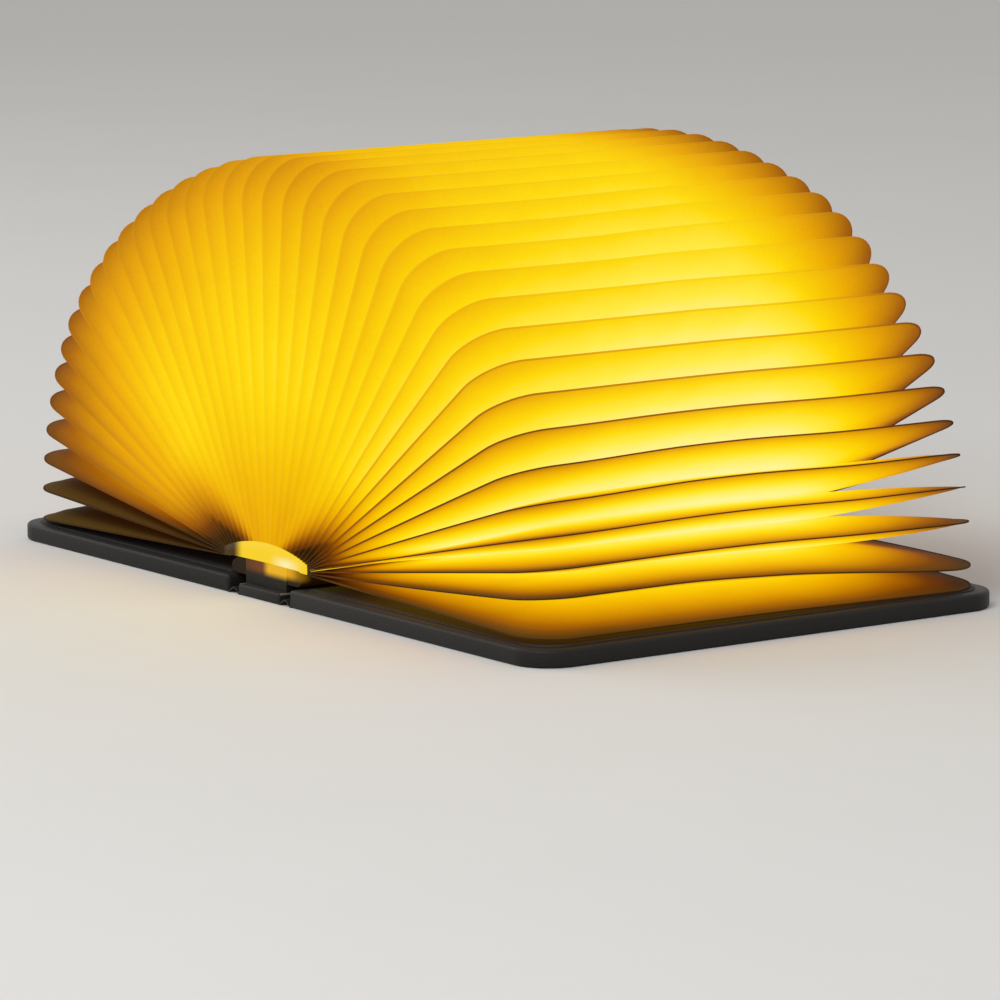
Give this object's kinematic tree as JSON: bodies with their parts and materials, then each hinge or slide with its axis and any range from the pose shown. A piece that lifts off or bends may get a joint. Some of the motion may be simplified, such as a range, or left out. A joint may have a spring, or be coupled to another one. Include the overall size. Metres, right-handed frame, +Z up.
{
  "type": "folding book lamp",
  "caption": "Lamp in the form of a hard-cover book; its glowing pleated paper bellows fans out as the covers open flat or fold back to back.",
  "frame": {"origin": "middle of the underside of the spine, on the table, with the lamp open flat", "axes": "+X across to the right cover's fore-edge, +Y along the spine to the charging end, +Z up"},
  "size_m": [0.206, 0.122, 0.0944],
  "materials": {
    "paper": "matt spun paper, lit from inside",
    "book_cloth": "black book cloth, slight sheen",
    "lining": "matt black lining sheet",
    "greyboard": "grey book board",
    "housing_plastic": "black moulded plastic",
    "opal": "opal plastic, lit",
    "chip": "warm white light chip",
    "light_board": "white solder mask",
    "circuit_board": "green solder mask",
    "cell_wrap": "foil pouch cell",
    "socket_metal": "plated steel shell",
    "magnet": "nickel plated magnet"
  },
  "bodies": {
    "spine": {"spine_board": "greyboard", "spine_cloth": "book_cloth", "housing": "housing_plastic", "near_cap": "housing_plastic", "far_cap": "housing_plastic", "battery": "cell_wrap", "charge_board": "circuit_board", "charge_socket": "socket_metal", "light_board": "light_board", "light_chips": "chip", "diffuser": "opal", "right_gutter": "book_cloth", "left_gutter": "book_cloth", "page_19": "paper"},
    "right_cover": {"right_board": "greyboard", "right_cloth": "book_cloth", "right_liner": "lining", "right_magnets": "magnet"},
    "left_cover": {"left_board": "greyboard", "left_cloth": "book_cloth", "left_liner": "lining", "left_magnets": "magnet"},
    "leaf_18": {"page_18": "paper"},
    "leaf_17": {"page_17": "paper"},
    "leaf_16": {"page_16": "paper"},
    "leaf_15": {"page_15": "paper"},
    "leaf_14": {"page_14": "paper"},
    "leaf_13": {"page_13": "paper"},
    "leaf_12": {"page_12": "paper"},
    "leaf_11": {"page_11": "paper"},
    "leaf_10": {"page_10": "paper"},
    "leaf_09": {"page_09": "paper"},
    "leaf_08": {"page_08": "paper"},
    "leaf_07": {"page_07": "paper"},
    "leaf_06": {"page_06": "paper"},
    "leaf_05": {"page_05": "paper"},
    "leaf_04": {"page_04": "paper"},
    "leaf_03": {"page_03": "paper"},
    "leaf_02": {"page_02": "paper"},
    "leaf_01": {"page_01": "paper"},
    "leaf_00": {"page_00": "paper"},
    "leaf_20": {"page_20": "paper"},
    "leaf_21": {"page_21": "paper"},
    "leaf_22": {"page_22": "paper"},
    "leaf_23": {"page_23": "paper"},
    "leaf_24": {"page_24": "paper"},
    "leaf_25": {"page_25": "paper"},
    "leaf_26": {"page_26": "paper"},
    "leaf_27": {"page_27": "paper"},
    "leaf_28": {"page_28": "paper"},
    "leaf_29": {"page_29": "paper"},
    "leaf_30": {"page_30": "paper"},
    "leaf_31": {"page_31": "paper"},
    "leaf_32": {"page_32": "paper"},
    "leaf_33": {"page_33": "paper"},
    "leaf_34": {"page_34": "paper"},
    "leaf_35": {"page_35": "paper"},
    "leaf_36": {"page_36": "paper"},
    "leaf_37": {"page_37": "paper"},
    "leaf_38": {"page_38": "paper"}
  },
  "joints": [
    {"name": "right_cover_hinge", "type": "hinge", "parent": "spine", "child": "right_cover", "pos_m": [0.0105, 0, 0.002], "axis": [0, -1, 0], "range_deg": [-94, 90], "deforming": ["right_gutter"]},
    {"name": "left_cover_hinge", "type": "hinge", "parent": "spine", "child": "left_cover", "pos_m": [-0.0105, 0, 0.002], "axis": [0, 1, 0], "range_deg": [-94, 90], "deforming": ["left_gutter"]},
    {"name": "fold_18", "type": "hinge", "parent": "spine", "child": "leaf_18", "pos_m": [0.00078, 0, -0.00507], "axis": [0, -1, 0], "range_deg": [-5, 4.8], "deforming": ["page_18", "page_19"]},
    {"name": "fold_17", "type": "hinge", "parent": "leaf_18", "child": "leaf_17", "pos_m": [0.00234, 0, -0.00497], "axis": [0, -1, 0], "range_deg": [-5, 4.8], "deforming": ["page_17"]},
    {"name": "fold_16", "type": "hinge", "parent": "leaf_17", "child": "leaf_16", "pos_m": [0.00388, 0, -0.00479], "axis": [0, -1, 0], "range_deg": [-5, 4.8], "deforming": ["page_16"]},
    {"name": "fold_15", "type": "hinge", "parent": "leaf_16", "child": "leaf_15", "pos_m": [0.00539, 0, -0.00452], "axis": [0, -1, 0], "range_deg": [-5, 4.8], "deforming": ["page_15"]},
    {"name": "fold_14", "type": "hinge", "parent": "leaf_15", "child": "leaf_14", "pos_m": [0.00687, 0, -0.00417], "axis": [0, -1, 0], "range_deg": [-5, 4.8], "deforming": ["page_14"]},
    {"name": "fold_13", "type": "hinge", "parent": "leaf_14", "child": "leaf_13", "pos_m": [0.0083, 0, -0.00372], "axis": [0, -1, 0], "range_deg": [-5, 4.8], "deforming": ["page_13"]},
    {"name": "fold_12", "type": "hinge", "parent": "leaf_13", "child": "leaf_12", "pos_m": [0.00967, 0, -0.0032], "axis": [0, -1, 0], "range_deg": [-5, 4.8], "deforming": ["page_12"]},
    {"name": "fold_11", "type": "hinge", "parent": "leaf_12", "child": "leaf_11", "pos_m": [0.01097, 0, -0.0026], "axis": [0, -1, 0], "range_deg": [-5, 4.8], "deforming": ["page_11"]},
    {"name": "fold_10", "type": "hinge", "parent": "leaf_11", "child": "leaf_10", "pos_m": [0.01219, 0, -0.00193], "axis": [0, -1, 0], "range_deg": [-5, 4.8], "deforming": ["page_10"]},
    {"name": "fold_09", "type": "hinge", "parent": "leaf_10", "child": "leaf_09", "pos_m": [0.01333, 0, -0.00119], "axis": [0, -1, 0], "range_deg": [-5, 4.8], "deforming": ["page_09"]},
    {"name": "fold_08", "type": "hinge", "parent": "leaf_09", "child": "leaf_08", "pos_m": [0.01437, 0, -0.00038], "axis": [0, -1, 0], "range_deg": [-5, 4.8], "deforming": ["page_08"]},
    {"name": "fold_07", "type": "hinge", "parent": "leaf_08", "child": "leaf_07", "pos_m": [0.01529, 0, 0.00098], "axis": [0, -1, 0], "range_deg": [-5, 4.8], "deforming": ["page_07"]},
    {"name": "fold_06", "type": "hinge", "parent": "leaf_07", "child": "leaf_06", "pos_m": [0.01578, 0, 0.0092], "axis": [0, -1, 0], "range_deg": [-5, 4.8], "deforming": ["page_06"]},
    {"name": "fold_05", "type": "hinge", "parent": "leaf_06", "child": "leaf_05", "pos_m": [0.0159, 0, 0.00897], "axis": [0, -1, 0], "range_deg": [-5, 4.8], "deforming": ["page_05"]},
    {"name": "fold_04", "type": "hinge", "parent": "leaf_05", "child": "leaf_04", "pos_m": [0.01601, 0, 0.00873], "axis": [0, -1, 0], "range_deg": [-5, 4.8], "deforming": ["page_04"]},
    {"name": "fold_03", "type": "hinge", "parent": "leaf_04", "child": "leaf_03", "pos_m": [0.01609, 0, 0.00849], "axis": [0, -1, 0], "range_deg": [-5, 4.8], "deforming": ["page_03"]},
    {"name": "fold_02", "type": "hinge", "parent": "leaf_03", "child": "leaf_02", "pos_m": [0.01615, 0, 0.00824], "axis": [0, -1, 0], "range_deg": [-5, 4.8], "deforming": ["page_02"]},
    {"name": "fold_01", "type": "hinge", "parent": "leaf_02", "child": "leaf_01", "pos_m": [0.0162, 0, 0.00799], "axis": [0, -1, 0], "range_deg": [-5, 4.8], "deforming": ["page_01"]},
    {"name": "fold_00", "type": "hinge", "parent": "leaf_01", "child": "leaf_00", "pos_m": [0.01622, 0, 0.00773], "axis": [0, -1, 0], "range_deg": [-5, 4.8], "deforming": ["page_00"]},
    {"name": "fold_20", "type": "hinge", "parent": "spine", "child": "leaf_20", "pos_m": [-0.00078, 0, -0.00507], "axis": [0, 1, 0], "range_deg": [-5, 4.8], "deforming": ["page_20", "page_19"]},
    {"name": "fold_21", "type": "hinge", "parent": "leaf_20", "child": "leaf_21", "pos_m": [-0.00234, 0, -0.00497], "axis": [0, 1, 0], "range_deg": [-5, 4.8], "deforming": ["page_21"]},
    {"name": "fold_22", "type": "hinge", "parent": "leaf_21", "child": "leaf_22", "pos_m": [-0.00388, 0, -0.00479], "axis": [0, 1, 0], "range_deg": [-5, 4.8], "deforming": ["page_22"]},
    {"name": "fold_23", "type": "hinge", "parent": "leaf_22", "child": "leaf_23", "pos_m": [-0.00539, 0, -0.00452], "axis": [0, 1, 0], "range_deg": [-5, 4.8], "deforming": ["page_23"]},
    {"name": "fold_24", "type": "hinge", "parent": "leaf_23", "child": "leaf_24", "pos_m": [-0.00687, 0, -0.00417], "axis": [0, 1, 0], "range_deg": [-5, 4.8], "deforming": ["page_24"]},
    {"name": "fold_25", "type": "hinge", "parent": "leaf_24", "child": "leaf_25", "pos_m": [-0.0083, 0, -0.00372], "axis": [0, 1, 0], "range_deg": [-5, 4.8], "deforming": ["page_25"]},
    {"name": "fold_26", "type": "hinge", "parent": "leaf_25", "child": "leaf_26", "pos_m": [-0.00967, 0, -0.0032], "axis": [0, 1, 0], "range_deg": [-5, 4.8], "deforming": ["page_26"]},
    {"name": "fold_27", "type": "hinge", "parent": "leaf_26", "child": "leaf_27", "pos_m": [-0.01097, 0, -0.0026], "axis": [0, 1, 0], "range_deg": [-5, 4.8], "deforming": ["page_27"]},
    {"name": "fold_28", "type": "hinge", "parent": "leaf_27", "child": "leaf_28", "pos_m": [-0.01219, 0, -0.00193], "axis": [0, 1, 0], "range_deg": [-5, 4.8], "deforming": ["page_28"]},
    {"name": "fold_29", "type": "hinge", "parent": "leaf_28", "child": "leaf_29", "pos_m": [-0.01333, 0, -0.00119], "axis": [0, 1, 0], "range_deg": [-5, 4.8], "deforming": ["page_29"]},
    {"name": "fold_30", "type": "hinge", "parent": "leaf_29", "child": "leaf_30", "pos_m": [-0.01437, 0, -0.00038], "axis": [0, 1, 0], "range_deg": [-5, 4.8], "deforming": ["page_30"]},
    {"name": "fold_31", "type": "hinge", "parent": "leaf_30", "child": "leaf_31", "pos_m": [-0.01529, 0, 0.00098], "axis": [0, 1, 0], "range_deg": [-5, 4.8], "deforming": ["page_31"]},
    {"name": "fold_32", "type": "hinge", "parent": "leaf_31", "child": "leaf_32", "pos_m": [-0.01578, 0, 0.0092], "axis": [0, 1, 0], "range_deg": [-5, 4.8], "deforming": ["page_32"]},
    {"name": "fold_33", "type": "hinge", "parent": "leaf_32", "child": "leaf_33", "pos_m": [-0.0159, 0, 0.00897], "axis": [0, 1, 0], "range_deg": [-5, 4.8], "deforming": ["page_33"]},
    {"name": "fold_34", "type": "hinge", "parent": "leaf_33", "child": "leaf_34", "pos_m": [-0.01601, 0, 0.00873], "axis": [0, 1, 0], "range_deg": [-5, 4.8], "deforming": ["page_34"]},
    {"name": "fold_35", "type": "hinge", "parent": "leaf_34", "child": "leaf_35", "pos_m": [-0.01609, 0, 0.00849], "axis": [0, 1, 0], "range_deg": [-5, 4.8], "deforming": ["page_35"]},
    {"name": "fold_36", "type": "hinge", "parent": "leaf_35", "child": "leaf_36", "pos_m": [-0.01615, 0, 0.00824], "axis": [0, 1, 0], "range_deg": [-5, 4.8], "deforming": ["page_36"]},
    {"name": "fold_37", "type": "hinge", "parent": "leaf_36", "child": "leaf_37", "pos_m": [-0.0162, 0, 0.00799], "axis": [0, 1, 0], "range_deg": [-5, 4.8], "deforming": ["page_37"]},
    {"name": "fold_38", "type": "hinge", "parent": "leaf_37", "child": "leaf_38", "pos_m": [-0.01622, 0, 0.00773], "axis": [0, 1, 0], "range_deg": [-5, 4.8], "deforming": ["page_38"]}
  ],
  "couplings": [
    {"joint": "fold_18", "follows": "right_cover_hinge", "ratio": 0.052632},
    {"joint": "fold_17", "follows": "right_cover_hinge", "ratio": 0.052632},
    {"joint": "fold_16", "follows": "right_cover_hinge", "ratio": 0.052632},
    {"joint": "fold_15", "follows": "right_cover_hinge", "ratio": 0.052632},
    {"joint": "fold_14", "follows": "right_cover_hinge", "ratio": 0.052632},
    {"joint": "fold_13", "follows": "right_cover_hinge", "ratio": 0.052632},
    {"joint": "fold_12", "follows": "right_cover_hinge", "ratio": 0.052632},
    {"joint": "fold_11", "follows": "right_cover_hinge", "ratio": 0.052632},
    {"joint": "fold_10", "follows": "right_cover_hinge", "ratio": 0.052632},
    {"joint": "fold_09", "follows": "right_cover_hinge", "ratio": 0.052632},
    {"joint": "fold_08", "follows": "right_cover_hinge", "ratio": 0.052632},
    {"joint": "fold_07", "follows": "right_cover_hinge", "ratio": 0.052632},
    {"joint": "fold_06", "follows": "right_cover_hinge", "ratio": 0.052632},
    {"joint": "fold_05", "follows": "right_cover_hinge", "ratio": 0.052632},
    {"joint": "fold_04", "follows": "right_cover_hinge", "ratio": 0.052632},
    {"joint": "fold_03", "follows": "right_cover_hinge", "ratio": 0.052632},
    {"joint": "fold_02", "follows": "right_cover_hinge", "ratio": 0.052632},
    {"joint": "fold_01", "follows": "right_cover_hinge", "ratio": 0.052632},
    {"joint": "fold_00", "follows": "right_cover_hinge", "ratio": 0.052632},
    {"joint": "fold_20", "follows": "left_cover_hinge", "ratio": 0.052632},
    {"joint": "fold_21", "follows": "left_cover_hinge", "ratio": 0.052632},
    {"joint": "fold_22", "follows": "left_cover_hinge", "ratio": 0.052632},
    {"joint": "fold_23", "follows": "left_cover_hinge", "ratio": 0.052632},
    {"joint": "fold_24", "follows": "left_cover_hinge", "ratio": 0.052632},
    {"joint": "fold_25", "follows": "left_cover_hinge", "ratio": 0.052632},
    {"joint": "fold_26", "follows": "left_cover_hinge", "ratio": 0.052632},
    {"joint": "fold_27", "follows": "left_cover_hinge", "ratio": 0.052632},
    {"joint": "fold_28", "follows": "left_cover_hinge", "ratio": 0.052632},
    {"joint": "fold_29", "follows": "left_cover_hinge", "ratio": 0.052632},
    {"joint": "fold_30", "follows": "left_cover_hinge", "ratio": 0.052632},
    {"joint": "fold_31", "follows": "left_cover_hinge", "ratio": 0.052632},
    {"joint": "fold_32", "follows": "left_cover_hinge", "ratio": 0.052632},
    {"joint": "fold_33", "follows": "left_cover_hinge", "ratio": 0.052632},
    {"joint": "fold_34", "follows": "left_cover_hinge", "ratio": 0.052632},
    {"joint": "fold_35", "follows": "left_cover_hinge", "ratio": 0.052632},
    {"joint": "fold_36", "follows": "left_cover_hinge", "ratio": 0.052632},
    {"joint": "fold_37", "follows": "left_cover_hinge", "ratio": 0.052632},
    {"joint": "fold_38", "follows": "left_cover_hinge", "ratio": 0.052632}
  ]
}
